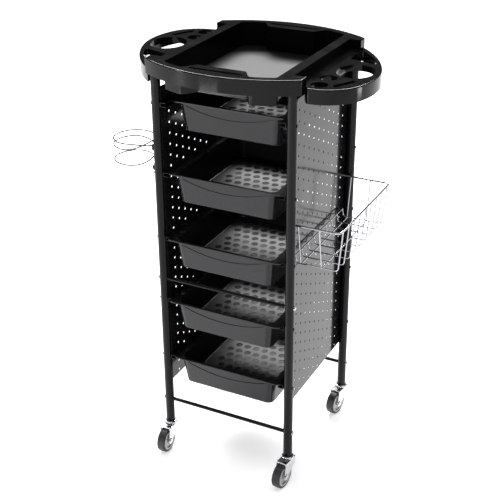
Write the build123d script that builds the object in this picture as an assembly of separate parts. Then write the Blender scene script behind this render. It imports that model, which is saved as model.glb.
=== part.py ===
"""Rolling salon trolley: a moulded tool tray on four tube legs, with perforated side panels,
five sliding drawers, a wire basket, a coil holder for a hair dryer and four swivel casters.

Frame: X to the right across the front, Y to the back, Z up.
The origin is on the floor in the middle of the four legs. All sizes are in millimetres.
"""
from build123d import *
from math import cos, radians, sin, sqrt, tan
import os

# ---------------------------------------------------------------- driving dimensions
TRAY_TOP_Z = 880.0          # height of the tray rim above the floor
LEG_X = 141.5               # leg centres, left and right of the middle
LEG_Y = 148.0               # leg centres, in front of and behind the middle
LEG_R = 9.5                 # tube radius
LEG_WALL = 1.2
LEG_BOTTOM_Z = 66.0
SEAT_GAP = 0.05             # radial gap of a pressed or screwed seat
RUN_GAP = 0.05              # radial gap of a running fit
SLIDE_GAP = 0.4             # gap between a drawer flange and its runner

# tray
TRAY_HALF_X = 160.0
TRAY_HALF_Y = 201.0         # at the middle of the bowed front and rear edges
TRAY_CORNER_Y = 153.0
TRAY_SKIRT = 29.0
TRAY_WALL = 3.0
TRAY_EDGE_R = 2.0
TRAY_CORNER_R = 5.0
RECESS_HALF_X = 115.0
RECESS_DEPTH = 49.0
RECESS_STEP_Z = 24.0        # the walls step in at this depth below the rim
RECESS_STEP = 2.0
POCKET_INSET = 17.0         # deck left between the bowed edge and the corner pockets
POCKET_HALF_GAP = 62.0      # the pockets start this far from the middle
BULGE_Y = 149.0             # recess wall behind each handle slot
SLOT_Y = 171.5              # handle slot centre
SLOT_HALF_LENGTH = 55.0
SLOT_WIDTH = 8.0
SLOT_COLLAR = 2.5
BAR_OUTER_X = 136.0         # outer face of the raised side bars
WINDOW_HALF_Y = 132.0       # the wings' tops lie open between the raised corners
WING_DROP = 17.7            # wing top below the tray rim
WING_SKIRT = 28.0
WING_ROOT_X = 154.0         # the wings start inside the tray's side wall
WING_TAIL_Y = 154.0
WING_JOIN_HALF_Y = 120.0    # no tray skirt inside the wings along this length
TOOL_HOLE_R = 16.2
TOOL_HOLES = ((175.5, -68.0), (176.0, -112.0))
COLLAR = 2.0
COLLAR_DEPTH = 12.0
SOCKET_WALL = 2.5
SOCKET_DEPTH = 20.0

# drawers
DRAWER_RIM_Z = (795.0, 653.0, 514.0, 374.0, 236.0)
DRAWER_FRONT_Y = (-130.0, -151.0, -160.0, -162.5, -155.0)
DRAWER_NAMES = ("drawer_1", "drawer_2", "drawer_3", "drawer_4", "drawer_5")
DRAWER_HEIGHT = 60.5
DRAWER_LENGTH = 285.0
DRAWER_HALF_X = 109.0       # tub, outside, just under the rim
DRAWER_WALL = 2.2
DRAWER_TAPER = 6.5          # degrees that the tub walls lean in
DRAWER_CORNER_R = 15.0
DRAWER_FOOT_R = 4.0
DRAWER_END_LIP = 4.0        # rim beyond the tub's front and rear walls
FLANGE_T = 2.2
FLANGE_HALF_X = 127.0
FLANGE_LIP_H = 5.5
FLANGE_LIP_T = 2.0
FLANGE_CORNER_R = 14.0
THUMB_HALF_X = 93.0         # thumb recess across the drawer front
THUMB_TOP = 7.0             # its ends, below the rim
THUMB_LOW = 24.0            # its middle, below the rim
THUMB_DEPTH = 1.1
DIMPLE_R = 7.6
DIMPLE_DEPTH = 0.6
DIMPLE_PITCH_X = 21.0
DIMPLE_PITCH_Y = 22.5       # row to row, each row shifted by half a pitch
DIMPLE_MARGIN = 11.0

# runners
RUNNER_HALF_LENGTH = 153.0
RUNNER_T = 1.2
RUNNER_LIP_X = 118.5        # inner edge of the runner's two flanges
PANEL_T = 1.0
PANEL_BOTTOM_Z = 175.0
PANEL_TOP_Z = 827.0
PANEL_HALF_Y = 148.0
HOLE_R = 2.3
HOLE_PITCH_Z = 22.6
HOLE_PITCH_Y = 24.0         # column to column, each column shifted by half a pitch
HOLE_COLUMNS = 11
HOLE_MARGIN_Z = 8.0

# crossbars and fixings
CROSSBAR_R = 4.0
CROSSBAR_Z = (122.5, 419.0)
SCREW_R = 1.75
SCREW_GAP = 0.1
SCREW_HEAD_R = 3.2
SCREW_HEAD_T = 1.4
BOLT_R = 2.4
BOLT_HEAD_R = 4.6
BOLT_HEAD_T = 3.0
BOLT_REACH = 15.0

# casters
WHEEL_R = 27.5
WHEEL_W = 18.0
HUB_R = 22.0
HUB_FACE_R = 18.5
HUB_FACE_DEPTH = 3.0
HUB_BOSS_R = 7.0
TRAIL = 24.0
AXLE_R = 3.0
AXLE_HEAD_R = 5.0
AXLE_HEAD_T = 2.0
FORK_T = 1.8
FORK_CLEAR = 1.2            # between the wheel's faces and the fork arms
FORK_TOP_Z = 60.0
FORK_BACK = 12.0            # fork plate behind the swivel axis
FORK_FRONT = 26.0           # fork plate in front of the swivel axis
FORK_FOOT_R = 8.5
FORK_LIP = 4.3
FORK_BACK_H = 18.0          # height of the arms at the back
STEM_R = 4.0
STEM_HEAD_R = 6.5
STEM_HEAD_T = 1.6
STEM_REACH = 26.0
RACE_R = 13.0
RACE_GAP = 0.3
RACE_T = 4.0
BALL_R = 1.2
BALL_RING_R = 8.6
BALL_COUNT = 12
PLUG_HEIGHT = 30.0
PLUG_FLANGE_R = 10.6
PLUG_FLANGE_T = 1.6
CASTER_TURN = {"front_left": 2.0, "front_right": -6.0, "rear_left": -3.0, "rear_right": -9.0}

# wire basket
RIM_WIRE_R = 2.0
WIRE_R = 1.25
BASKET_RIM_Z = 590.0
BASKET_FLOOR_Z = 504.0
BASKET_FRONT_Y = -134.0
BASKET_REAR_Y = 134.0
BASKET_END_LEAN = 15.0      # the end wires lean in towards the floor
BASKET_OUTER_X = 235.0
BASKET_FLOOR_OUTER_X = 227.0
BASKET_INNER_X = 139.0
BASKET_INNER_Z = 520.0
BASKET_CORNER_R = 12.0
BASKET_BEND_R = 7.0
BASKET_CROSS_WIRES = 9
BASKET_LONG_X = (150.0, 193.0)
BASKET_HOOK = 9.0

# coil holder
COIL_R = 41.0
COIL_WIRE_R = 1.4
COIL_TOP_Z = 716.0
COIL_MID_Z = 704.0
COIL_LOW_Z = 673.0
COIL_LEG_GAP = 1.0
COIL_UPPER_SCREW_Z = 701.0
COIL_LOWER_SCREW_Z = 660.5
COIL_EYE_R = 6.0
COIL_EYE_T = 1.6
COIL_STEPS = 16             # guide points in each turn

# ---------------------------------------------------------------- worked-out places
SKIRT_BOTTOM_Z = TRAY_TOP_Z - TRAY_SKIRT
DECK_UNDER_Z = TRAY_TOP_Z - TRAY_WALL
WING_TOP_Z = TRAY_TOP_Z - WING_DROP
WING_UNDER_Z = WING_TOP_Z - TRAY_WALL
WING_BOTTOM_Z = WING_TOP_Z - WING_SKIRT
RECESS_FLOOR_Z = TRAY_TOP_Z - RECESS_DEPTH
TRAY_SAG = TRAY_HALF_Y - TRAY_CORNER_Y
TRAY_BOW_R = (TRAY_HALF_X**2 + TRAY_SAG**2) / (2 * TRAY_SAG)
BOW_CENTRE_Y = TRAY_HALF_Y - TRAY_BOW_R
LEG_TOP_Z = SKIRT_BOTTOM_Z + 2.0 + SOCKET_DEPTH
PANEL_OUTER_X = LEG_X - LEG_R
PANEL_INNER_X = PANEL_OUTER_X - PANEL_T
RUNNER_WEB_X = PANEL_INNER_X - RUNNER_T
RUNNER_LOW = FLANGE_LIP_H + SLIDE_GAP
LEG_SPOTS = {
    "front_left": (-LEG_X, -LEG_Y),
    "front_right": (LEG_X, -LEG_Y),
    "rear_left": (-LEG_X, LEG_Y),
    "rear_right": (LEG_X, LEG_Y),
}


def along_x(radius, x_from, x_to, y, z):
    """A round bar along X between two stations."""
    length = abs(x_to - x_from)
    middle = (x_from + x_to) / 2
    return Pos(middle, y, z) * Rot(0, 90, 0) * Cylinder(radius, length)


def upright(radius, x, y, z_from, z_to):
    """A round bar along Z between two heights."""
    return Pos(x, y, (z_from + z_to) / 2) * Cylinder(radius, z_to - z_from)


def block(x_range, y_range, z_range):
    """A box from its three ranges."""
    middle = [(low + high) / 2 for low, high in (x_range, y_range, z_range)]
    size = [high - low for low, high in (x_range, y_range, z_range)]
    return Pos(*middle) * Box(*size)


def slab(face, z_from, z_to):
    """A face drawn on the XY plane, extruded between two heights."""
    return Pos(0, 0, z_from) * extrude(face, z_to - z_from)


def turned(shape):
    """The same shape half a turn round the middle of the trolley."""
    return Rot(0, 0, 180) * shape


def both_ways(shape):
    """A shape and its half-turn twin."""
    return shape + turned(shape)


# ---------------------------------------------------------------- tray
def bow_y(x, inset=0.0):
    """Y of the bowed edge at a given x, moved inwards by an inset."""
    radius = TRAY_BOW_R - inset
    return BOW_CENTRE_Y + sqrt(radius**2 - x**2)


def tray_outline(inset=0.0):
    """The tray's plan, moved inwards by an inset: straight sides, bowed front and rear edges."""
    half_x = TRAY_HALF_X - inset
    corner_y = bow_y(half_x, inset)
    end_y = TRAY_HALF_Y - inset
    rear = ThreePointArc((half_x, corner_y), (0, end_y), (-half_x, corner_y))
    left = Line((-half_x, corner_y), (-half_x, -corner_y))
    front = ThreePointArc((-half_x, -corner_y), (0, -end_y), (half_x, -corner_y))
    right = Line((half_x, -corner_y), (half_x, corner_y))
    plan = make_face([rear, left, front, right])
    return fillet(plan.vertices(), TRAY_CORNER_R - inset)


def recess_outline(inset=0.0):
    """The recess in plan: a wide tray with a pocket in each corner beside the handle slots."""
    half_x = RECESS_HALF_X - inset
    pocket_x = POCKET_HALF_GAP + inset
    bulge_y = BULGE_Y - inset
    ogee_x = pocket_x - 12.0
    outer = POCKET_INSET + inset
    corner_y = bow_y(half_x, outer)
    pocket_y = bow_y(pocket_x + 6.0, outer)
    middle_x = (half_x + pocket_x + 6.0) / 2
    middle_y = bow_y(middle_x, outer)
    quarter = []
    quarter.append(Line((half_x, 0), (half_x, corner_y)))
    quarter.append(ThreePointArc((half_x, corner_y), (middle_x, middle_y), (pocket_x + 6.0, pocket_y)))
    quarter.append(Line((pocket_x + 6.0, pocket_y), (ogee_x, bulge_y)))
    quarter.append(Line((ogee_x, bulge_y), (0, bulge_y)))
    edges = list(quarter)
    for plane in (Plane.YZ, Plane.XZ):
        edges += [mirror(edge, plane) for edge in edges]
    plan = make_face(edges)
    joints = [v for v in plan.vertices() if abs(v.X) > 1.0 and abs(v.Y) > 1.0]
    return fillet(joints, 9.0 - inset)


def wing_outline():
    """The right wing in plan: a nose in front, then three tangent arcs back to the rear corner."""
    nose = Line((WING_ROOT_X, -125.0), (164.0, -141.7))
    front = Line(nose @ 1, (178.0, -140.0))
    shoulder = TangentArc(front @ 1, (246.0, -84.0), tangent=front % 1)
    flank = TangentArc(shoulder @ 1, (245.0, 22.0), tangent=shoulder % 1)
    tail = TangentArc(flank @ 1, (WING_ROOT_X, WING_TAIL_Y), tangent=flank % 1)
    root = Line(tail @ 1, nose @ 0)
    plan = make_face([nose, front, shoulder, flank, tail, root])
    tip = plan.vertices().sort_by(Axis.Y)[0]
    return fillet([tip], 7.0)


def wing_openings(grow=0.0):
    """Plan shapes of the right wing's openings, each grown outwards by a margin."""
    dryer = Pos(205, -10) * Rot(0, 0, 8) * Ellipse(35.5 + grow, 43.0 + grow)
    tools = [Pos(x, y) * Circle(TOOL_HOLE_R + grow) for x, y in TOOL_HOLES]
    slot = Pos(214.5, -88) * Rot(0, 0, 62) * SlotOverall(54.0 + 2 * grow, 11.5 + 2 * grow)
    corner = make_face(Polyline((166, 62), (226, 44), (206.5, 84), (166, 128), close=True))
    corner = fillet(corner.vertices(), 5.0)
    return [dryer, *tools, slot, offset(corner, grow) if grow else corner]


def build_tray():
    """The whole moulded tray as one thin-walled solid."""
    body = slab(tray_outline(), SKIRT_BOTTOM_Z, TRAY_TOP_Z)
    body = fillet(body.edges().group_by(Axis.Z)[-1], TRAY_EDGE_R)
    wing_plan = wing_outline()
    wing = slab(wing_plan, WING_BOTTOM_Z, WING_TOP_Z)
    wing = fillet(wing.edges().group_by(Axis.Z)[-1], TRAY_EDGE_R)
    window = block(
        (BAR_OUTER_X, TRAY_HALF_X + 20),
        (-WINDOW_HALF_Y, WINDOW_HALF_Y),
        (WING_TOP_Z, TRAY_TOP_Z + 5),
    )
    body = body - window - turned(window)
    body = body + wing + turned(wing)
    # hollow from below
    t = TRAY_WALL
    cavity = slab(tray_outline(t), SKIRT_BOTTOM_Z - 1, DECK_UNDER_Z)
    roof = block(
        (BAR_OUTER_X - t, TRAY_HALF_X + 20),
        (-WINDOW_HALF_Y - t, WINDOW_HALF_Y + t),
        (WING_UNDER_Z, TRAY_TOP_Z),
    )
    cavity = cavity - roof - turned(roof)
    wing_cavity = slab(offset(wing_plan, -t, kind=Kind.INTERSECTION), WING_BOTTOM_Z - 1, WING_UNDER_Z)
    joined = block(
        (TRAY_HALF_X - t, TRAY_HALF_X + 5),
        (-WING_JOIN_HALF_Y, WING_JOIN_HALF_Y),
        (SKIRT_BOTTOM_Z - 1, WING_UNDER_Z),
    )
    body = body - cavity - wing_cavity - turned(wing_cavity) - joined - turned(joined)
    # recess tub, with a step part-way down its walls
    upper = recess_outline()
    lower = recess_outline(RECESS_STEP)
    step_z = TRAY_TOP_Z - RECESS_STEP_Z
    tub = slab(offset(upper, t), step_z - t, DECK_UNDER_Z)
    tub = tub + slab(offset(lower, t), RECESS_FLOOR_Z - t, step_z)
    body = body + tub
    body = body - slab(upper, step_z, TRAY_TOP_Z + 1) - slab(lower, RECESS_FLOOR_Z, step_z)
    # handle slots, each with a collar down to the skirt's edge
    slot = Pos(0, SLOT_Y) * SlotOverall(2 * SLOT_HALF_LENGTH, SLOT_WIDTH)
    slot_wall = Pos(0, SLOT_Y) * SlotOverall(
        2 * (SLOT_HALF_LENGTH + SLOT_COLLAR), SLOT_WIDTH + 2 * SLOT_COLLAR
    )
    body = body + both_ways(slab(slot_wall, SKIRT_BOTTOM_Z + 6, DECK_UNDER_Z))
    body = body - both_ways(slab(slot, SKIRT_BOTTOM_Z, TRAY_TOP_Z + 1))
    # openings in the wings, each with a collar
    for face in wing_openings(COLLAR):
        body = body + both_ways(slab(face, WING_TOP_Z - COLLAR_DEPTH, WING_UNDER_Z))
    for face in wing_openings():
        body = body - both_ways(slab(face, WING_BOTTOM_Z - 5, WING_TOP_Z + 1))
    # sockets for the legs
    for x, y in LEG_SPOTS.values():
        socket = upright(LEG_R + SEAT_GAP + SOCKET_WALL, x, y, SKIRT_BOTTOM_Z + 2, DECK_UNDER_Z)
        body = body + socket
    for x, y in LEG_SPOTS.values():
        body = body - upright(LEG_R + SEAT_GAP, x, y, SKIRT_BOTTOM_Z, LEG_TOP_Z)
        side = 1 if x > 0 else -1
        body = body - along_x(SCREW_R + SCREW_GAP, x - side * 20, x, y, LEG_TOP_Z - SOCKET_DEPTH / 2)
    return body


def build_tray_screws():
    """Four screws that hold the legs in the tray's sockets."""
    screws = []
    for x, y in LEG_SPOTS.values():
        side = 1 if x > 0 else -1
        seat = x - side * (LEG_R + SEAT_GAP + SOCKET_WALL)
        z = LEG_TOP_Z - SOCKET_DEPTH / 2
        head = along_x(SCREW_HEAD_R, seat - side * SCREW_HEAD_T, seat, y, z)
        shank = along_x(SCREW_R, seat, seat + side * 8.0, y, z)
        screws.append(head + shank)
    return screws


# ---------------------------------------------------------------- frame
def build_leg(x, y):
    """One tube leg, drilled for its runner screws, crossbar bolts and tray screw."""
    leg = upright(LEG_R, x, y, LEG_BOTTOM_Z, LEG_TOP_Z)
    leg = leg - upright(LEG_R - LEG_WALL, x, y, LEG_BOTTOM_Z - 1, LEG_TOP_Z + 1)
    for rim_z in DRAWER_RIM_Z:
        leg = leg - along_x(SCREW_R + SCREW_GAP, x - 20, x + 20, y, runner_screw_z(rim_z))
    for z in CROSSBAR_Z:
        leg = leg - along_x(BOLT_R + SCREW_GAP, x - 20, x + 20, y, z)
    side = 1 if x > 0 else -1
    leg = leg - along_x(SCREW_R + SCREW_GAP, x - side * 20, x, y, LEG_TOP_Z - SOCKET_DEPTH / 2)
    if x < 0 and y < 0:
        for z in (COIL_UPPER_SCREW_Z, COIL_LOWER_SCREW_Z):
            leg = leg - along_x(SCREW_R + SCREW_GAP, x - 20, x, y, z)
    return leg


def build_plug(x, y):
    """The insert pressed into a leg's foot, which takes the caster's stem."""
    bore_r = LEG_R - LEG_WALL
    plug = upright(bore_r - SEAT_GAP, x, y, LEG_BOTTOM_Z, LEG_BOTTOM_Z + PLUG_HEIGHT)
    plug = plug + upright(PLUG_FLANGE_R, x, y, LEG_BOTTOM_Z - PLUG_FLANGE_T, LEG_BOTTOM_Z)
    return plug - upright(STEM_R + SEAT_GAP, x, y, LEG_BOTTOM_Z - 5, LEG_BOTTOM_Z + STEM_REACH + 0.5)


def runner_screw_z(rim_z):
    """Height of the screws that hold a drawer's runners."""
    return rim_z - FLANGE_LIP_H / 2


def panel_hole_spots():
    """Y and Z of every hole in a side panel: columns staggered by half a pitch."""
    spots = []
    for column in range(HOLE_COLUMNS):
        y = (column - (HOLE_COLUMNS - 1) / 2) * HOLE_PITCH_Y
        z = PANEL_BOTTOM_Z + HOLE_MARGIN_Z + (HOLE_PITCH_Z / 2 if column % 2 else 0.0)
        while z < PANEL_TOP_Z - HOLE_MARGIN_Z:
            spots.append((y, z))
            z += HOLE_PITCH_Z
    return spots


def build_panel(side):
    """One perforated side panel, standing against the inner sides of two legs."""
    sheet_plane = Plane.YZ
    height = PANEL_TOP_Z - PANEL_BOTTOM_Z
    sheet = Pos(0, (PANEL_TOP_Z + PANEL_BOTTOM_Z) / 2) * Rectangle(2 * PANEL_HALF_Y, height)
    holes = [Pos(y, z) * Circle(HOLE_R) for y, z in panel_hole_spots() if not near_basket_hook(side, y, z)]
    for y in (-LEG_Y, LEG_Y):
        for rim_z in DRAWER_RIM_Z:
            holes.append(Pos(y, runner_screw_z(rim_z)) * Circle(SCREW_R + SCREW_GAP))
        for z in CROSSBAR_Z:
            if PANEL_BOTTOM_Z < z < PANEL_TOP_Z:
                holes.append(Pos(y, z) * Circle(BOLT_R + SCREW_GAP))
    if side > 0:
        for y in (BASKET_FRONT_Y, BASKET_REAR_Y):
            holes.append(Pos(y, BASKET_RIM_Z) * Circle(RIM_WIRE_R + 0.3))
    sheet = sheet - Sketch() - holes
    low_x = PANEL_INNER_X if side > 0 else -PANEL_OUTER_X
    return Pos(low_x, 0, 0) * extrude(sheet_plane * sheet, PANEL_T)


def near_basket_hook(side, y, z):
    """Whether a pattern hole would run into the hole for the basket's hook."""
    beside = min(abs(y - BASKET_FRONT_Y), abs(y - BASKET_REAR_Y)) < 3 * HOLE_R
    return side > 0 and beside and abs(z - BASKET_RIM_Z) < 3 * HOLE_R


def build_runner(side, rim_z):
    """One C-shaped drawer runner, screwed through the panel to two legs."""
    low = rim_z - RUNNER_LOW - RUNNER_T
    high = rim_z + SLIDE_GAP + RUNNER_T
    length = (-RUNNER_HALF_LENGTH, RUNNER_HALF_LENGTH)
    shape = block((RUNNER_LIP_X, PANEL_INNER_X), length, (low, high))
    shape = shape - block((RUNNER_LIP_X - 1, RUNNER_WEB_X), (-200, 200), (low + RUNNER_T, high - RUNNER_T))
    for y in (-LEG_Y, LEG_Y):
        shape = shape - along_x(SCREW_R + SCREW_GAP, RUNNER_LIP_X, LEG_X, y, runner_screw_z(rim_z))
    return shape if side > 0 else turned(shape)


def build_runner_screws():
    """Screws through the legs and panels into the runners."""
    screws = []
    for x, y in LEG_SPOTS.values():
        side = 1 if x > 0 else -1
        outer = side * (LEG_X + LEG_R)
        for rim_z in DRAWER_RIM_Z:
            z = runner_screw_z(rim_z)
            head = along_x(SCREW_HEAD_R, outer, outer + side * SCREW_HEAD_T, y, z)
            shank = along_x(SCREW_R, side * RUNNER_WEB_X, outer, y, z)
            screws.append(head + shank)
    return screws


def crossbar_reach(z):
    """Half the length of a crossbar: up to the side panels, or to the legs below them."""
    return PANEL_INNER_X if PANEL_BOTTOM_Z < z < PANEL_TOP_Z else PANEL_OUTER_X


def build_crossbar(y, z):
    """A round bar between two legs, bored at both ends for its bolts."""
    reach = crossbar_reach(z)
    bar = along_x(CROSSBAR_R, -reach, reach, y, z)
    for side in (-1, 1):
        bar = bar - along_x(BOLT_R + SCREW_GAP, side * (reach - BOLT_REACH - 1), side * (reach + 1), y, z)
    return bar


def build_crossbar_bolts():
    """Domed bolts through the legs into the crossbars."""
    bolts = []
    for x, y in LEG_SPOTS.values():
        side = 1 if x > 0 else -1
        outer = side * (LEG_X + LEG_R)
        for z in CROSSBAR_Z:
            head = along_x(BOLT_HEAD_R, outer, outer + side * BOLT_HEAD_T, y, z)
            rim = head.edges().filter_by(GeomType.CIRCLE).sort_by(Axis.X)[-1 if side > 0 else 0]
            head = fillet(rim, BOLT_HEAD_T * 0.8)
            shank = along_x(BOLT_R, outer, side * (crossbar_reach(z) - BOLT_REACH), y, z)
            bolts.append(head + shank)
    return bolts


# ---------------------------------------------------------------- drawers
def build_drawer():
    """A drawer tub with its rim, drawn with the rim's top at z = 0 and its front edge at y = 0."""
    rim_plan = Pos(0, DRAWER_LENGTH / 2) * RectangleRounded(
        2 * FLANGE_HALF_X, DRAWER_LENGTH, FLANGE_CORNER_R
    )
    tub_length = DRAWER_LENGTH - 2 * DRAWER_END_LIP
    lean = tan(radians(DRAWER_TAPER)) * DRAWER_HEIGHT
    w = DRAWER_WALL

    def tub(inset, z_low, z_high):
        """A tapered block: the tub's outside moved in by an inset, between two depths."""
        def section(z):
            shrink = inset + lean * (-z / DRAWER_HEIGHT)
            return Pos(0, DRAWER_LENGTH / 2, z) * RectangleRounded(
                2 * (DRAWER_HALF_X - shrink), tub_length - 2 * shrink, DRAWER_CORNER_R - inset
            )
        return loft([section(z_low), section(z_high)])

    outside = tub(0.0, -DRAWER_HEIGHT, 0.0)
    outside = fillet(outside.edges().group_by(Axis.Z)[0], DRAWER_FOOT_R)
    rim = extrude(rim_plan, -FLANGE_T)
    lip_plan = rim_plan - (Pos(0, DRAWER_LENGTH / 2) * Rectangle(
        2 * (FLANGE_HALF_X - FLANGE_LIP_T), DRAWER_LENGTH + 1
    ))
    lip = extrude(lip_plan, -FLANGE_LIP_H)
    drawer = outside + rim + lip
    inside = tub(w, -DRAWER_HEIGHT + w, 0.5)
    inside = fillet(inside.edges().group_by(Axis.Z)[0], DRAWER_FOOT_R - w / 2)
    drawer = drawer - inside
    drawer = drawer - floor_dimples(lean, tub_length) - thumb_recess()
    return drawer


def floor_dimples(lean, tub_length):
    """Round shallow dimples in staggered rows over the drawer's floor."""
    half_x = DRAWER_HALF_X - lean - DIMPLE_MARGIN - DIMPLE_R
    half_y = tub_length / 2 - lean - DIMPLE_MARGIN - DIMPLE_R
    rows = int(half_y // DIMPLE_PITCH_Y)
    spots = []
    for row in range(-rows, rows + 1):
        shift = DIMPLE_PITCH_X / 2 if row % 2 else 0.0
        count = int((half_x + shift) // DIMPLE_PITCH_X) + 1
        for column in range(-count, count + 1):
            x = column * DIMPLE_PITCH_X + shift
            if abs(x) <= half_x:
                spots.append((x, DRAWER_LENGTH / 2 + row * DIMPLE_PITCH_Y))
    plan = [Pos(x, y) * Circle(DIMPLE_R) for x, y in spots]
    floor_z = -DRAWER_HEIGHT + DRAWER_WALL
    return [Pos(0, 0, floor_z - DIMPLE_DEPTH) * extrude(face, DIMPLE_DEPTH + 1.0) for face in plan]


def thumb_recess():
    """The crescent recess across the drawer's front, as deep everywhere on the leaning wall."""
    chord = Line((-THUMB_HALF_X, -THUMB_TOP), (THUMB_HALF_X, -THUMB_TOP))
    arc = ThreePointArc((THUMB_HALF_X, -THUMB_TOP), (0, -THUMB_LOW), (-THUMB_HALF_X, -THUMB_TOP))
    face = make_face([chord, arc])
    lean = radians(DRAWER_TAPER)
    front = Plane(origin=(0, DRAWER_END_LIP, 0), x_dir=(1, 0, 0), z_dir=(0, -cos(lean), -sin(lean)))
    return extrude(front * face, 1.0) + extrude(front * face, -THUMB_DEPTH)


# ---------------------------------------------------------------- casters
def place_caster(name, shape):
    """Put a caster piece, drawn about its swivel axis with the wheel towards -Y, under its leg."""
    x, y = LEG_SPOTS[name]
    return Pos(x, y, 0) * Rot(0, 0, CASTER_TURN[name]) * shape


def build_fork():
    """The pressed fork: a top plate, two tapering arms and a front lip."""
    half_in = WHEEL_W / 2 + FORK_CLEAR
    half_out = half_in + FORK_T
    foot = Pos(-TRAIL, WHEEL_R) * Circle(FORK_FOOT_R)
    arm = make_face(Polyline(
        (-TRAIL + FORK_FOOT_R, WHEEL_R), (FORK_BACK, FORK_TOP_Z - FORK_BACK_H), (FORK_BACK, FORK_TOP_Z),
        (-FORK_FRONT, FORK_TOP_Z), (-TRAIL - FORK_FOOT_R, WHEEL_R), close=True,
    ))
    profile = arm + foot
    slab_x = extrude(Plane.YZ * profile, half_out, both=True)
    slab_x = fillet(slab_x.edges().filter_by(
        lambda e: abs(e.center().Z - FORK_TOP_Z) < 0.1 and abs(abs(e.center().X) - half_out) < 0.1
    ), 2.0)
    hollow = block((-half_in, half_in), (-60, 60), (-1, FORK_TOP_Z - FORK_T))
    fork = slab_x - hollow
    lip = block(
        (-half_in - 0.1, half_in + 0.1),
        (-FORK_FRONT, -FORK_FRONT + FORK_T),
        (FORK_TOP_Z - FORK_LIP, FORK_TOP_Z),
    )
    fork = fork + lip
    fork = fork - along_x(AXLE_R + RUN_GAP, -40, 40, -TRAIL, WHEEL_R)
    return fork - upright(STEM_R + RUN_GAP, 0, 0, 40, 80)


def build_stem():
    """The caster's stem, headed under the fork plate and pressed into the leg's plug."""
    head_top = FORK_TOP_Z - FORK_T - RACE_GAP
    shank = upright(STEM_R, 0, 0, head_top, LEG_BOTTOM_Z + STEM_REACH)
    return shank + upright(STEM_HEAD_R, 0, 0, head_top - STEM_HEAD_T, head_top)


def build_race():
    """The domed upper ball race between the fork plate and the leg's foot."""
    low = FORK_TOP_Z + RACE_GAP
    high = LEG_BOTTOM_Z - PLUG_FLANGE_T
    race = upright(RACE_R, 0, 0, low, high)
    race = fillet(race.edges().filter_by(GeomType.CIRCLE).group_by(Axis.Z)[-1], RACE_T * 0.55)
    track = upright(BALL_RING_R + BALL_R + 0.1, 0, 0, low - 1, low + 2 * BALL_R + 0.2)
    track = track - upright(BALL_RING_R - BALL_R - 0.1, 0, 0, low - 2, low + 5)
    return race - track - upright(STEM_R + SEAT_GAP, 0, 0, 40, 80)


def build_balls():
    """The ring of bearing balls in the race."""
    z = FORK_TOP_Z + RACE_GAP + BALL_R + 0.05
    ball = Pos(BALL_RING_R, 0, z) * Sphere(BALL_R)
    return [Rot(0, 0, 360 * i / BALL_COUNT) * ball for i in range(BALL_COUNT)]


def build_hub():
    """The wheel's hub, with a dished face each side and a boss for the axle."""
    hub = along_x(HUB_R, -WHEEL_W / 2, WHEEL_W / 2, 0, 0)
    for side in (-1, 1):
        face = side * WHEEL_W / 2
        dish = along_x(HUB_FACE_R, face - side * HUB_FACE_DEPTH, face + side, 0, 0)
        boss = along_x(HUB_BOSS_R, face - side * HUB_FACE_DEPTH, face + side, 0, 0)
        hub = hub - (dish - boss)
    hub = hub - along_x(AXLE_R + RUN_GAP, -40, 40, 0, 0)
    return Pos(0, -TRAIL, WHEEL_R) * hub


def build_tyre():
    """The tyre, with rounded shoulders, on the hub."""
    tyre = along_x(WHEEL_R, -WHEEL_W / 2, WHEEL_W / 2, 0, 0)
    tyre = fillet(tyre.edges().filter_by(GeomType.CIRCLE), 2.4)
    tyre = tyre - along_x(HUB_R + SEAT_GAP, -40, 40, 0, 0)
    return Pos(0, -TRAIL, WHEEL_R) * tyre


def build_axle():
    """The axle bolt through both fork arms and the hub, with its nut."""
    outer = WHEEL_W / 2 + FORK_CLEAR + FORK_T
    axle = along_x(AXLE_R, -outer, outer, -TRAIL, WHEEL_R)
    for side in (-1, 1):
        head = along_x(AXLE_HEAD_R, side * outer, side * (outer + AXLE_HEAD_T), -TRAIL, WHEEL_R)
        axle = axle + head
    return axle


# ---------------------------------------------------------------- wire basket
def bent_wire(radius, points, bend):
    """A wire along straight runs joined by arcs."""
    path = FilletPolyline(*points, radius=bend)
    return sweep(Plane(origin=path @ 0, z_dir=path % 0) * Circle(radius), path=path)


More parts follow.
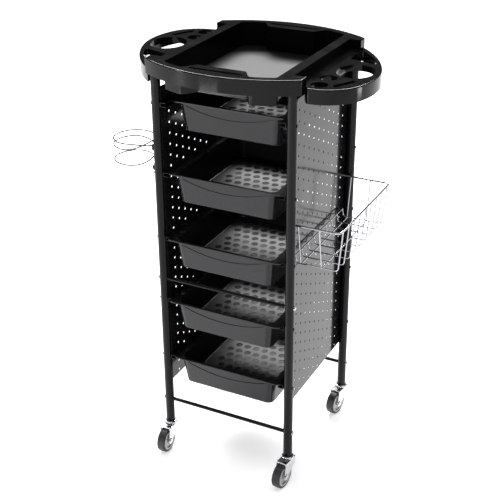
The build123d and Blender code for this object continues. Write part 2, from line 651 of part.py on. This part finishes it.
def build_basket():
    """The basket welded from round wire: rim, end and floor wires, and cross wires."""
    floor_front = BASKET_FRONT_Y + BASKET_END_LEAN
    floor_rear = BASKET_REAR_Y - BASKET_END_LEAN
    hook_x = PANEL_INNER_X - RIM_WIRE_R - 0.6
    rim_points = [
        (hook_x, BASKET_FRONT_Y, BASKET_RIM_Z - BASKET_HOOK),
        (hook_x, BASKET_FRONT_Y, BASKET_RIM_Z),
        (BASKET_OUTER_X, BASKET_FRONT_Y, BASKET_RIM_Z),
        (BASKET_OUTER_X, BASKET_REAR_Y, BASKET_RIM_Z),
        (hook_x, BASKET_REAR_Y, BASKET_RIM_Z),
        (hook_x, BASKET_REAR_Y, BASKET_RIM_Z - BASKET_HOOK),
    ]
    bends = [RIM_WIRE_R + 0.8, BASKET_CORNER_R, BASKET_CORNER_R, RIM_WIRE_R + 0.8]
    basket = bent_wire(RIM_WIRE_R, rim_points, bends)
    drop = RIM_WIRE_R * 0.5
    for x in BASKET_LONG_X:
        basket = basket + bent_wire(WIRE_R, [
            (x, BASKET_FRONT_Y, BASKET_RIM_Z - drop),
            (x, floor_front, BASKET_FLOOR_Z - 2 * WIRE_R + 0.3),
            (x, floor_rear, BASKET_FLOOR_Z - 2 * WIRE_R + 0.3),
            (x, BASKET_REAR_Y, BASKET_RIM_Z - drop),
        ], BASKET_BEND_R)
    step = (floor_rear - floor_front) / (BASKET_CROSS_WIRES - 1)
    for i in range(BASKET_CROSS_WIRES):
        y = floor_front + i * step
        basket = basket + bent_wire(WIRE_R, [
            (BASKET_INNER_X, y, BASKET_INNER_Z),
            (BASKET_INNER_X + 3.0, y, BASKET_FLOOR_Z),
            (BASKET_FLOOR_OUTER_X, y, BASKET_FLOOR_Z),
            (BASKET_OUTER_X, y, BASKET_RIM_Z - drop),
        ], [4.0, BASKET_BEND_R])
    inner = Pos(BASKET_INNER_X, (floor_front + floor_rear) / 2, BASKET_INNER_Z) * Rot(90, 0, 0)
    basket = basket + inner * Cylinder(WIRE_R, floor_rear - floor_front + 4.0)
    return basket


# ---------------------------------------------------------------- coil holder
def coil_centre():
    """Plan centre of the coil, beside the front left leg."""
    return (-LEG_X - LEG_R - COIL_LEG_GAP - COIL_WIRE_R - COIL_R, -LEG_Y)


def coil_height(turn):
    """Height of the coil's wire after a number of turns, easing from one level to the next."""
    levels = [
        (0.0, COIL_UPPER_SCREW_Z + COIL_EYE_R), (0.2, COIL_TOP_Z), (1.0, COIL_TOP_Z),
        (1.25, COIL_MID_Z), (1.65, COIL_MID_Z), (2.2, COIL_LOW_Z), (2.7, COIL_LOW_Z),
        (3.0, COIL_LOWER_SCREW_Z + COIL_EYE_R),
    ]
    for (start, low), (end, high) in zip(levels, levels[1:]):
        if turn <= end:
            share = (turn - start) / (end - start)
            return low + (high - low) * share * share * (3 - 2 * share)
    return levels[-1][1]


def build_coil():
    """The coil for a hair dryer: three turns of wire at their own heights, with an eye at each end."""
    cx, cy = coil_centre()
    leg_x = -LEG_X - LEG_R
    points = []
    for step in range(3 * COIL_STEPS + 1):
        turn = step / COIL_STEPS
        angle = radians(-360 * turn)
        points.append((cx + COIL_R * cos(angle), cy + COIL_R * sin(angle), coil_height(turn)))
    path = Spline(*points)
    wire = sweep(Plane(origin=points[0], z_dir=path % 0) * Circle(COIL_WIRE_R), path=path)
    for z in (COIL_UPPER_SCREW_Z, COIL_LOWER_SCREW_Z):
        wire = wire + along_x(COIL_EYE_R, leg_x - COIL_EYE_T, leg_x, cy, z)
    for z in (COIL_UPPER_SCREW_Z, COIL_LOWER_SCREW_Z):
        wire = wire - along_x(SCREW_R + SCREW_GAP, leg_x - 5, leg_x + 1, cy, z)
    return wire


def build_coil_screws():
    """The two screws that hold the coil's eyes to the leg."""
    seat = -LEG_X - LEG_R - COIL_EYE_T
    screws = []
    for z in (COIL_UPPER_SCREW_Z, COIL_LOWER_SCREW_Z):
        head = along_x(BOLT_HEAD_R, seat - BOLT_HEAD_T, seat, -LEG_Y, z)
        rim = head.edges().filter_by(GeomType.CIRCLE).sort_by(Axis.X)[0]
        head = fillet(rim, BOLT_HEAD_T * 0.8)
        shank = along_x(SCREW_R, seat, -LEG_X - LEG_R + 6.0, -LEG_Y, z)
        screws.append(head + shank)
    return screws


def parts():
    """Every sub-part by node name."""
    nodes = {"top_tray": build_tray(), "tray_screws": build_tray_screws()}
    for name, (x, y) in LEG_SPOTS.items():
        nodes["leg_" + name] = build_leg(x, y)
    nodes["leg_plugs"] = [build_plug(x, y) for x, y in LEG_SPOTS.values()]
    nodes["side_panel_left"] = build_panel(-1)
    nodes["side_panel_right"] = build_panel(1)
    drawer = build_drawer()
    for name, rim_z, front_y in zip(DRAWER_NAMES, DRAWER_RIM_Z, DRAWER_FRONT_Y):
        nodes[name] = Pos(0, front_y, rim_z) * drawer
        nodes["runner_left_" + name[-1]] = build_runner(-1, rim_z)
        nodes["runner_right_" + name[-1]] = build_runner(1, rim_z)
    nodes["runner_screws"] = build_runner_screws()
    for end, y in (("front", -LEG_Y), ("rear", LEG_Y)):
        for level, z in zip(("bottom", "middle"), CROSSBAR_Z):
            nodes["crossbar_" + end + "_" + level] = build_crossbar(y, z)
    nodes["crossbar_bolts"] = build_crossbar_bolts()
    pieces = {
        "stem": build_stem(), "race": build_race(), "fork": build_fork(),
        "axle": build_axle(), "hub": build_hub(), "tyre": build_tyre(),
    }
    balls = build_balls()
    nodes["race_balls"] = []
    for name in LEG_SPOTS:
        for piece, shape in pieces.items():
            nodes["caster_" + piece + "_" + name] = place_caster(name, shape)
        nodes["race_balls"] += [place_caster(name, ball) for ball in balls]
    nodes["wire_basket"] = build_basket()
    nodes["dryer_coil"] = build_coil()
    nodes["coil_screws"] = build_coil_screws()
    return nodes


os.makedirs("parts", exist_ok=True)
for node, shape in parts().items():
    solid = Compound(children=shape) if isinstance(shape, list) else shape
    export_step(solid, "parts/" + node + ".step")
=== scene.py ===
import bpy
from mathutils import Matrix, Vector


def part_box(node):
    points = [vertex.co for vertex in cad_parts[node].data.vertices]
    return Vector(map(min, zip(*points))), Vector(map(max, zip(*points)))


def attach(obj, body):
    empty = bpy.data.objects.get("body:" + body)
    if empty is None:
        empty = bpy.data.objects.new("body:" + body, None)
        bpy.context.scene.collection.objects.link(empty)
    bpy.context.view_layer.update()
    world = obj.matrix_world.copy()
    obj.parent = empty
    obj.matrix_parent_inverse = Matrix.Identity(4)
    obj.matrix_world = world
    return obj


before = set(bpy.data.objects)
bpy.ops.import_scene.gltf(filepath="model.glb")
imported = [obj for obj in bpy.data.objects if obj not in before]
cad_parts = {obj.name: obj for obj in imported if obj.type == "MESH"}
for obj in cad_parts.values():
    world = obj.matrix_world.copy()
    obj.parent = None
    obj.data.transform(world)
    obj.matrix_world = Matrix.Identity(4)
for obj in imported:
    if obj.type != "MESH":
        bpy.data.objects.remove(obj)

"""Looks of a rolling salon trolley: finishes, small welded and moulded details, floor, light and camera."""

import logging
import math
from dataclasses import dataclass
from enum import Enum

import bpy
from mathutils import Matrix, Vector

MM = 0.001
WHITE = (1.0, 1.0, 1.0, 1.0)
SENSOR_WIDTH = 36.0             # millimetres, as the lens below
PATCH_DETAIL = 3.0              # octaves of the broad patches
PATCH_SPAN = (0.3, 0.7)         # the part of that noise's range that is spread over the gloss
CORNERS = ("front_left", "front_right", "rear_left", "rear_right")
LOG = logging.getLogger("trolley")
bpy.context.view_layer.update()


def linear(hex_colour: str) -> tuple[float, float, float, float]:
    """Turn an sRGB hex colour into linear RGBA.

    Args:
        hex_colour: six hex digits with a leading hash.

    Returns:
        Linear red, green, blue and an alpha of 1.
    """
    channels = []
    for start in (1, 3, 5):
        value = int(hex_colour[start:start + 2], 16) / 255
        channels.append(value / 12.92 if value <= 0.04045 else ((value + 0.055) / 1.055) ** 2.4)
    return (*channels, 1.0)


def add_node(tree: bpy.types.NodeTree, kind: str, settings: dict | None = None,
             values: dict | None = None, links: dict | None = None) -> bpy.types.Node:
    """Add one node with its settings, socket values and incoming links.

    Args:
        tree: the node tree that gets the node.
        kind: the node's type name.
        settings: attributes of the node, by name.
        values: constants for its inputs, by socket name or index.
        links: output sockets to link to its inputs, by socket name or index.

    Returns:
        The new node.
    """
    node = tree.nodes.new(kind)
    for name, value in (settings or {}).items():
        setattr(node, name, value)
    for key, value in (values or {}).items():
        node.inputs[key].default_value = value
    for key, socket in (links or {}).items():
        tree.links.new(socket, node.inputs[key])
    return node


class Surface(Enum):
    """How a surface was made, which decides the pattern of its relief."""

    MOULDED = "moulded"
    POWDER = "powder coated"
    PLATED = "plated"
    RUBBER = "rubber"


@dataclass(frozen=True)
class TexturedFloor:
    """The spark-eroded texture on the level floor inside a moulded piece; dimples stay smooth.

    Attributes:
        label: what the floor belongs to.
        height: the floor's height in metres.
        roughness: the texture's roughness.
        tolerance: how far from that height the texture still reaches.
    """

    label: str
    height: float
    roughness: float
    tolerance: float = 0.25 * MM

    def roughen(self, tree: bpy.types.NodeTree, place: bpy.types.NodeSocket,
                gloss: bpy.types.NodeSocket) -> bpy.types.NodeSocket:
        """Mix the texture's roughness in where the surface lies at the floor's height.

        Args:
            tree: the material's node tree.
            place: the coordinates of the surface.
            gloss: the roughness of the rest of the piece.

        Returns:
            The roughness over the whole piece.
        """
        level = add_node(tree, "ShaderNodeSeparateXYZ", links={0: place})
        on_floor = add_node(tree, "ShaderNodeMath", {"operation": "COMPARE"},
                            {1: self.height, 2: self.tolerance}, {0: level.outputs[2]})
        mixed = add_node(tree, "ShaderNodeMix", {"data_type": "FLOAT"}, {3: self.roughness},
                         {0: on_floor.outputs[0], 2: gloss})
        return mixed.outputs[0]


@dataclass(frozen=True)
class Finish:
    """One real finish: its colour, its gloss and the size of its relief.

    Attributes:
        name: the finish's common name.
        surface: how the surface was made.
        colour: its main colour, sRGB hex.
        shade: the colour of its slight patches, sRGB hex.
        metallic: 1 for bare or plated metal.
        gloss: lowest and highest roughness over the surface.
        grain_mm: spacing of the fine relief.
        relief_mm: height of the fine relief.
        patch_mm: spacing of the broad patches of colour and gloss.
        ior: index of refraction of a surface that isn't metal.
        glow: strength of the light that comes through from behind.
    """

    name: str
    surface: Surface
    colour: str
    shade: str
    metallic: float
    gloss: tuple[float, float]
    grain_mm: float
    relief_mm: float
    patch_mm: float
    ior: float = 1.5
    glow: float = 0.0

    def material(self, floor: TexturedFloor | None = None) -> bpy.types.Material:
        """Make the finish's procedural material, or return the one already made.

        Args:
            floor: the level floor inside the piece that is textured, if it has one.

        Returns:
            The material.
        """
        name = f"{self.name}, {floor.label}" if floor else self.name
        made = bpy.data.materials.get(name)
        return made if made else self._build(name, floor)

    def _build(self, name: str, floor: TexturedFloor | None) -> bpy.types.Material:
        """Build the node tree: broad patches for colour and gloss, fine grain for relief.

        Args:
            name: the material's name.
            floor: the textured floor, if there is one.

        Returns:
            The material.
        """
        material = bpy.data.materials.new(name)
        material.use_nodes = True
        tree = material.node_tree
        tree.nodes.clear()
        place = add_node(tree, "ShaderNodeTexCoord").outputs["Object"]
        patches = add_node(tree, "ShaderNodeTexNoise",
                           values={"Scale": 1 / (self.patch_mm * MM), "Detail": PATCH_DETAIL},
                           links={"Vector": place})
        colour = add_node(tree, "ShaderNodeMix", {"data_type": "RGBA"},
                          {6: linear(self.colour), 7: linear(self.shade)},
                          {0: patches.outputs[0]})
        gloss = add_node(tree, "ShaderNodeMapRange",
                         values={"From Min": PATCH_SPAN[0], "From Max": PATCH_SPAN[1],
                                 "To Min": self.gloss[0], "To Max": self.gloss[1]},
                         links={"Value": patches.outputs[0]})
        roughness = gloss.outputs[0]
        if floor:
            roughness = floor.roughen(tree, place, roughness)
        bump = add_node(tree, "ShaderNodeBump",
                        values={"Strength": 1.0, "Distance": self.relief_mm * MM},
                        links={"Height": self._grain(tree, place)})
        shader = add_node(tree, "ShaderNodeBsdfPrincipled",
                          values={"Metallic": self.metallic, "Emission Strength": self.glow,
                                  "Emission Color": WHITE},
                          links={"Base Color": colour.outputs[2], "Roughness": roughness,
                                 "Normal": bump.outputs[0]})
        if not self.metallic:
            shader.inputs["IOR"].default_value = self.ior
        add_node(tree, "ShaderNodeOutputMaterial", links={"Surface": shader.outputs[0]})
        return material

    def _grain(self, tree: bpy.types.NodeTree, place: bpy.types.NodeSocket) -> bpy.types.NodeSocket:
        """Make the height of the fine relief.

        Args:
            tree: the material's node tree.
            place: the coordinates that the relief reads.

        Returns:
            The socket that gives the height.
        """
        scale = 1 / (self.grain_mm * MM)
        if self.surface is Surface.RUBBER:
            cells = add_node(tree, "ShaderNodeTexVoronoi", values={"Scale": scale},
                             links={"Vector": place})
            return cells.outputs["Distance"]
        detail = {Surface.MOULDED: 1.0, Surface.POWDER: 4.0, Surface.PLATED: 2.0}[self.surface]
        noise = add_node(tree, "ShaderNodeTexNoise", values={"Scale": scale, "Detail": detail},
                         links={"Vector": place})
        return noise.outputs[0]


# Polished ABS from a mirror-finished mould: sharp reflections with a faint long sink ripple.
GLOSS_ABS = Finish(
    "gloss black ABS", Surface.MOULDED, "#08080a", "#0c0c0e",
    metallic=0.0, gloss=(0.07, 0.12), grain_mm=26.0, relief_mm=0.05, patch_mm=60.0, ior=1.27)
# Polypropylene drawers: a softer gloss, so reflections are a little blurred.
DRAWER_PP = Finish(
    "semi-gloss black polypropylene", Surface.MOULDED, "#18191b", "#1e1f21",
    metallic=0.0, gloss=(0.17, 0.25), grain_mm=9.0, relief_mm=0.02, patch_mm=45.0, ior=1.4)
# Powder coat over steel: orange peel about 2 mm across, glossy on top.
POWDER = Finish(
    "black powder coat", Surface.POWDER, "#09090b", "#0e0e10",
    metallic=0.0, gloss=(0.12, 0.2), grain_mm=2.2, relief_mm=0.006, patch_mm=50.0, ior=1.27)
# The side panels' sheet takes a thicker, harder coat that mirrors the room at a slant.
PANEL_COAT = Finish(
    "gloss black panel enamel", Surface.POWDER, "#101012", "#151517",
    metallic=0.0, gloss=(0.1, 0.17), grain_mm=3.0, relief_mm=0.004, patch_mm=80.0, ior=1.3)
# Bright nickel-chrome plate over the basket's drawn wire and the cross bars' bolts.
CHROME = Finish(
    "bright chrome plate", Surface.PLATED, "#b4b5b9", "#a5a6ab",
    metallic=1.0, gloss=(0.05, 0.12), grain_mm=6.0, relief_mm=0.004, patch_mm=20.0)
# Chrome plate over the hair dryer coil and its screws, its colour darkened as a painted reflection of the
# dark room.
COIL_CHROME_PAINTED_DARK = Finish(
    "chrome with painted dark reflection", Surface.PLATED, "#5e5f63", "#515256",
    metallic=1.0, gloss=(0.05, 0.12), grain_mm=6.0, relief_mm=0.004, patch_mm=20.0)
# Bright zinc plate on the casters' pressed steel: paler and a little softer than chrome.
ZINC = Finish(
    "bright zinc plate", Surface.PLATED, "#d3d4d6", "#c2c3c6",
    metallic=1.0, gloss=(0.1, 0.2), grain_mm=5.0, relief_mm=0.006, patch_mm=14.0)
# Hardened and polished bearing balls.
BALL_STEEL = Finish(
    "polished bearing steel", Surface.PLATED, "#b4b4b6", "#a6a6aa",
    metallic=1.0, gloss=(0.12, 0.2), grain_mm=1.0, relief_mm=0.002, patch_mm=8.0)
# Black oxide on screw steel: dark, with a dull metal gloss.
BLACK_OXIDE = Finish(
    "black oxide steel", Surface.PLATED, "#1b1b1d", "#252527",
    metallic=1.0, gloss=(0.3, 0.42), grain_mm=0.8, relief_mm=0.006, patch_mm=5.0)
# Moulded nylon plugs in the feet of the legs.
NYLON = Finish(
    "black nylon", Surface.MOULDED, "#0e0e0f", "#161617",
    metallic=0.0, gloss=(0.38, 0.5), grain_mm=1.2, relief_mm=0.01, patch_mm=10.0, ior=1.53)
# Light grey polypropylene wheel centre with a fine spark-eroded texture.
HUB_GREY = Finish(
    "light grey moulded polypropylene", Surface.MOULDED, "#b4b5b7", "#a6a7aa",
    metallic=0.0, gloss=(0.34, 0.46), grain_mm=0.9, relief_mm=0.01, patch_mm=9.0, ior=1.49)
# Thermoplastic rubber tread, matt and slightly dusty.
TREAD = Finish(
    "black thermoplastic rubber", Surface.RUBBER, "#0d0d0e", "#161617",
    metallic=0.0, gloss=(0.4, 0.55), grain_mm=0.9, relief_mm=0.012, patch_mm=12.0, ior=1.52)
# White acrylic sheet under the trolley, lit a little from below so that shadows stay pale.
LIGHT_TABLE = Finish(
    "matt white acrylic", Surface.MOULDED, "#fbfbfb", "#f7f7f7",
    metallic=0.0, gloss=(0.85, 0.95), grain_mm=2.0, relief_mm=0.01, patch_mm=400.0, ior=1.49, glow=0.5)


def dress(node: str, finish: Finish, floor: TexturedFloor | None = None) -> None:
    """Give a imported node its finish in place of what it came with.

    Args:
        node: the node's name.
        finish: the finish that it gets.
        floor: the textured floor inside it, if it has one.
    """
    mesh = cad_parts[node].data
    mesh.materials.clear()
    mesh.materials.append(finish.material(floor))
    LOG.info("%s: %s", node, finish.name)


class DetailTree:
    """A Geometry Nodes tree with named sizes, which ends in realised, dressed geometry."""

    def __init__(self, name: str, sizes: dict[str, float]) -> None:
        """Start the tree.

        Args:
            name: the tree's name.
            sizes: its inputs in metres or counts, by name; a whole number makes a count.
        """
        self.name = name
        self.sizes = sizes
        self.tree = bpy.data.node_groups.new(name, "GeometryNodeTree")
        face = self.tree.interface
        face.new_socket(name="Geometry", in_out="OUTPUT", socket_type="NodeSocketGeometry")
        for label, value in sizes.items():
            kind = "NodeSocketInt" if isinstance(value, int) else "NodeSocketFloat"
            face.new_socket(name=label, in_out="INPUT", socket_type=kind)
        self.inputs = self.tree.nodes.new("NodeGroupInput").outputs

    def add(self, kind: str, settings: dict | None = None, values: dict | None = None,
            links: dict | None = None) -> bpy.types.Node:
        """Add one node to this tree.

        Args:
            kind: the node's type name.
            settings: attributes of the node, by name.
            values: constants for its inputs, by socket name or index.
            links: output sockets to link to its inputs, by socket name or index.

        Returns:
            The new node.
        """
        return add_node(self.tree, kind, settings, values, links)

    def vector(self, x: object, y: object, z: object) -> bpy.types.NodeSocket:
        """Combine three numbers or sockets into a vector.

        Args:
            x: a number or a socket.
            y: a number or a socket.
            z: a number or a socket.

        Returns:
            The vector's socket.
        """
        node = self.add("ShaderNodeCombineXYZ")
        for index, part in enumerate((x, y, z)):
            if isinstance(part, bpy.types.NodeSocket):
                self.tree.links.new(part, node.inputs[index])
            else:
                node.inputs[index].default_value = part
        return node.outputs[0]

    def bake(self, piece: str, geometry: bpy.types.NodeSocket, finish: Finish,
             body: str) -> bpy.types.Object:
        """Close the tree, turn its result into a plain mesh and put that on a body.

        Args:
            piece: the finished piece's name.
            geometry: what the tree makes.
            finish: the piece's finish.
            body: the body that carries it.

        Returns:
            The finished piece.
        """
        material = finish.material()
        real = self.add("GeometryNodeRealizeInstances", links={0: geometry})
        dressed = self.add("GeometryNodeSetMaterial", values={"Material": material},
                           links={"Geometry": real.outputs[0]})
        end = self.tree.nodes.new("NodeGroupOutput")
        self.tree.links.new(dressed.outputs[0], end.inputs[0])
        host = bpy.data.objects.new(piece + "_host", bpy.data.meshes.new(piece + "_host"))
        bpy.context.scene.collection.objects.link(host)
        modifier = host.modifiers.new(self.name, "NODES")
        modifier.node_group = self.tree
        for item in self.tree.interface.items_tree:
            if item.in_out == "INPUT":
                modifier[item.identifier] = self.sizes[item.name]
        graph = bpy.context.evaluated_depsgraph_get()
        mesh = bpy.data.meshes.new_from_object(host.evaluated_get(graph))
        host.modifiers.remove(modifier)
        bpy.data.objects.remove(host)
        mesh.name = piece
        mesh.materials.clear()
        mesh.materials.append(material)
        mesh.shade_smooth()
        finished = bpy.data.objects.new(piece, mesh)
        bpy.context.scene.collection.objects.link(finished)
        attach(finished, body)
        LOG.info("%s: %d faces on %s", piece, len(mesh.polygons), body)
        return finished


@dataclass
class Tray:
    """The moulded tool tray and the screws that hold it."""

    finish: Finish = GLOSS_ABS
    wall: float = 3.0 * MM
    floor_roughness: float = 0.5

    def build(self) -> None:
        """Dress the tray and its screws."""
        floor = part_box("top_tray")[0].z + self.wall
        dress("top_tray", self.finish, TexturedFloor("tray floor", floor, self.floor_roughness))
        dress("tray_screws", BLACK_OXIDE)


@dataclass
class Drawers:
    """The five drawers and the runners that carry them."""

    count: int = 5
    wall: float = 2.2 * MM
    floor_roughness: float = 0.4

    def build(self) -> None:
        """Dress each drawer and its pair of runners."""
        for number in range(1, self.count + 1):
            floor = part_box(f"drawer_{number}")[0].z + self.wall
            texture = TexturedFloor(f"drawer {number} floor", floor, self.floor_roughness)
            dress(f"drawer_{number}", DRAWER_PP, texture)
            dress(f"runner_left_{number}", POWDER)
            dress(f"runner_right_{number}", POWDER)
        dress("runner_screws", BLACK_OXIDE)


@dataclass
class Frame:
    """Legs, side panels and cross bars."""

    levels: tuple[str, ...] = ("bottom", "middle")

    def build(self) -> None:
        """Dress the welded and bolted steel."""
        for corner in CORNERS:
            dress(f"leg_{corner}", POWDER)
        for side in ("left", "right"):
            dress(f"side_panel_{side}", PANEL_COAT)
        for end in ("front", "rear"):
            for level in self.levels:
                dress(f"crossbar_{end}_{level}", POWDER)
        dress("leg_plugs", NYLON)
        dress("crossbar_bolts", CHROME)


@dataclass
class Basket:
    """The wire basket, with a small weld bead at each crossing of its floor wires."""

    bead_radius: float = 1.6 * MM
    bead_subdivisions: int = 2
    cross_wires: int = 9
    end_lean: float = 15.0 * MM
    rim_half: float = 134.0 * MM
    floor_height: float = 503.0 * MM
    long_wires: tuple[float, ...] = (150.0 * MM, 193.0 * MM)

    def build(self) -> None:
        """Dress the basket and weld its floor wires."""
        dress("wire_basket", CHROME)
        self.weld()

    def weld(self) -> bpy.types.Object:
        """Put a bead where each cross wire meets each long wire.

        Returns:
            The welds, as one piece.
        """
        half = self.rim_half - self.end_lean
        tree = DetailTree("basket welds", {
            "Bead radius": self.bead_radius,
            "Cross wires": self.cross_wires,
            "First wire": -half,
            "Wire step": 2 * half / (self.cross_wires - 1),
            "Wire height": self.floor_height,
        })
        bead = tree.add("GeometryNodeMeshIcoSphere", values={"Subdivisions": self.bead_subdivisions},
                        links={"Radius": tree.inputs["Bead radius"]})
        rows = tree.add("GeometryNodeJoinGeometry")
        step = tree.vector(0.0, tree.inputs["Wire step"], 0.0)
        for wire in self.long_wires:
            start = tree.vector(wire, tree.inputs["First wire"], tree.inputs["Wire height"])
            row = tree.add("GeometryNodeMeshLine",
                           links={"Count": tree.inputs["Cross wires"],
                                  "Start Location": start, "Offset": step})
            tree.tree.links.new(row.outputs[0], rows.inputs[0])
        beads = tree.add("GeometryNodeInstanceOnPoints",
                         links={"Points": rows.outputs[0], "Instance": bead.outputs[0]})
        return tree.bake("basket_welds", beads.outputs[0], CHROME, "frame")


@dataclass
class DryerCoil:
    """The wire coil that holds a hair dryer, with its two screws."""

    # chrome darkened as a painted reflection of the dark room, on the coil and its screws
    finish: Finish = COIL_CHROME_PAINTED_DARK

    def build(self) -> None:
        """Dress the coil and its screws."""
        dress("dryer_coil", self.finish)
        dress("coil_screws", self.finish)


@dataclass
class Caster:
    """One swivel caster: plated steel, a grey wheel centre and a rubber tyre."""

    corner: str
    plated: tuple[str, ...] = ("stem", "race", "fork", "axle")

    def build(self) -> None:
        """Dress the caster's pieces."""
        for part in self.plated:
            dress(f"caster_{part}_{self.corner}", ZINC)
        dress(f"caster_hub_{self.corner}", HUB_GREY)
        dress(f"caster_tyre_{self.corner}", TREAD)


@dataclass
class Softbox:
    """One rectangular studio light."""

    name: str
    place: tuple[float, float, float]
    width: float
    height: float
    watts: float

    def build(self, target: Vector) -> None:
        """Hang the light and aim it.

        Args:
            target: the point that it faces.
        """
        lamp = bpy.data.lights.new(self.name, "AREA")
        lamp.shape = "RECTANGLE"
        lamp.size, lamp.size_y, lamp.energy = self.width, self.height, self.watts
        holder = bpy.data.objects.new(self.name, lamp)
        holder.location = self.place
        holder.rotation_euler = (target - Vector(self.place)).to_track_quat("-Z", "Y").to_euler()
        bpy.context.scene.collection.objects.link(holder)


@dataclass
class Studio:
    """The pale floor, the soft light and the camera."""

    floor_half: float = 14.0
    horizon: float = 1.1
    ceiling: float = 0.07
    band_top: float = 0.06
    band_end: float = 0.18
    overhead: float = 1.85
    overhead_spread: float = 60.0
    azimuth: float = 26.75
    elevation: float = 26.68
    roll: float = -0.28
    eye: tuple[float, float, float] = (0.8696, -1.7630, 1.4339)
    lens: float = 75.47
    aim: tuple[float, float, float] = (0.0, 0.0, 0.5)

    def build(self) -> None:
        """Set the floor, the sky, the lights and the camera."""
        self._floor()
        self._sky()
        middle = Vector(self.aim)
        for light in (
            Softbox("softbox_behind", (-0.95, 1.88, 2.45), 1.9, 0.9, 150.0),
            Softbox("softbox_left", (-2.4, -1.9, 0.9), 0.25, 1.5, 26.0),
            Softbox("glint_front", (-1.05, -2.1, 0.12), 0.6, 0.03, 1.2),
            Softbox("glint_right", (2.3, 0.9, 0.12), 0.6, 0.03, 1.2),
            Softbox("strip_front", (0.1, -3.2, 1.25), 1.6, 0.1, 16.0),
        ):
            light.build(middle)
        self._overhead()
        self._camera()

    def _floor(self) -> None:
        """Lay the floor under the wheels."""
        half = self.floor_half
        mesh = bpy.data.meshes.new("studio_floor")
        corners = [(-half, -half, 0), (half, -half, 0), (half, half, 0), (-half, half, 0)]
        mesh.from_pydata(corners, [], [(0, 1, 2, 3)])
        mesh.materials.append(LIGHT_TABLE.material())
        floor = bpy.data.objects.new("studio_floor", mesh)
        bpy.context.scene.collection.objects.link(floor)

    def _overhead(self) -> None:
        """Light the floor evenly from a very large diffuser overhead."""
        lamp = bpy.data.lights.new("overhead_diffuser", "SUN")
        lamp.energy, lamp.angle = self.overhead, math.radians(self.overhead_spread)
        bpy.context.scene.collection.objects.link(bpy.data.objects.new("overhead_diffuser", lamp))

    def _sky(self) -> None:
        """Make the room: a pale wall all round up to band_top, and a dark ceiling above it."""
        world = bpy.data.worlds.new("studio room")
        world.use_nodes = True
        tree = world.node_tree
        way = add_node(tree, "ShaderNodeTexCoord").outputs["Generated"]
        height = add_node(tree, "ShaderNodeSeparateXYZ", links={0: way})
        light = add_node(tree, "ShaderNodeMapRange", {"interpolation_type": "SMOOTHSTEP"},
                         {"From Min": self.band_top, "From Max": self.band_end,
                          "To Min": self.horizon, "To Max": self.ceiling},
                         {"Value": height.outputs[2]})
        tree.links.new(light.outputs[0], tree.nodes["Background"].inputs["Strength"])
        tree.nodes["Background"].inputs["Color"].default_value = WHITE
        bpy.context.scene.world = world
        bpy.context.scene.view_settings.view_transform = "Standard"

    def _camera(self) -> None:
        """Stand the camera in front, to the right and above."""
        a, e, r = (math.radians(v) for v in (self.azimuth, self.elevation, self.roll))
        right = Vector((math.cos(a), math.sin(a), 0))
        back = Vector((math.sin(a) * math.cos(e), -math.cos(a) * math.cos(e), math.sin(e)))
        up = back.cross(right)
        across = right * math.cos(r) + up * math.sin(r)
        upward = up * math.cos(r) - right * math.sin(r)
        lens = bpy.data.cameras.new("camera")
        lens.lens, lens.sensor_width = self.lens, SENSOR_WIDTH
        camera = bpy.data.objects.new("camera", lens)
        camera.matrix_world = Matrix.Translation(self.eye) @ Matrix(
            (across, upward, back)).transposed().to_4x4()
        bpy.context.scene.collection.objects.link(camera)
        bpy.context.scene.camera = camera


def main() -> None:
    """Build each sub-assembly in order, then the studio round it."""
    logging.basicConfig(level=logging.INFO, format="%(name)s %(message)s")
    assemblies = [Tray(), Drawers(), Frame(), Basket(), DryerCoil(), *map(Caster, CORNERS)]
    for assembly in assemblies:
        assembly.build()
    dress("race_balls", BALL_STEEL)
    Studio().build()


if __name__ == "__main__":
    main()
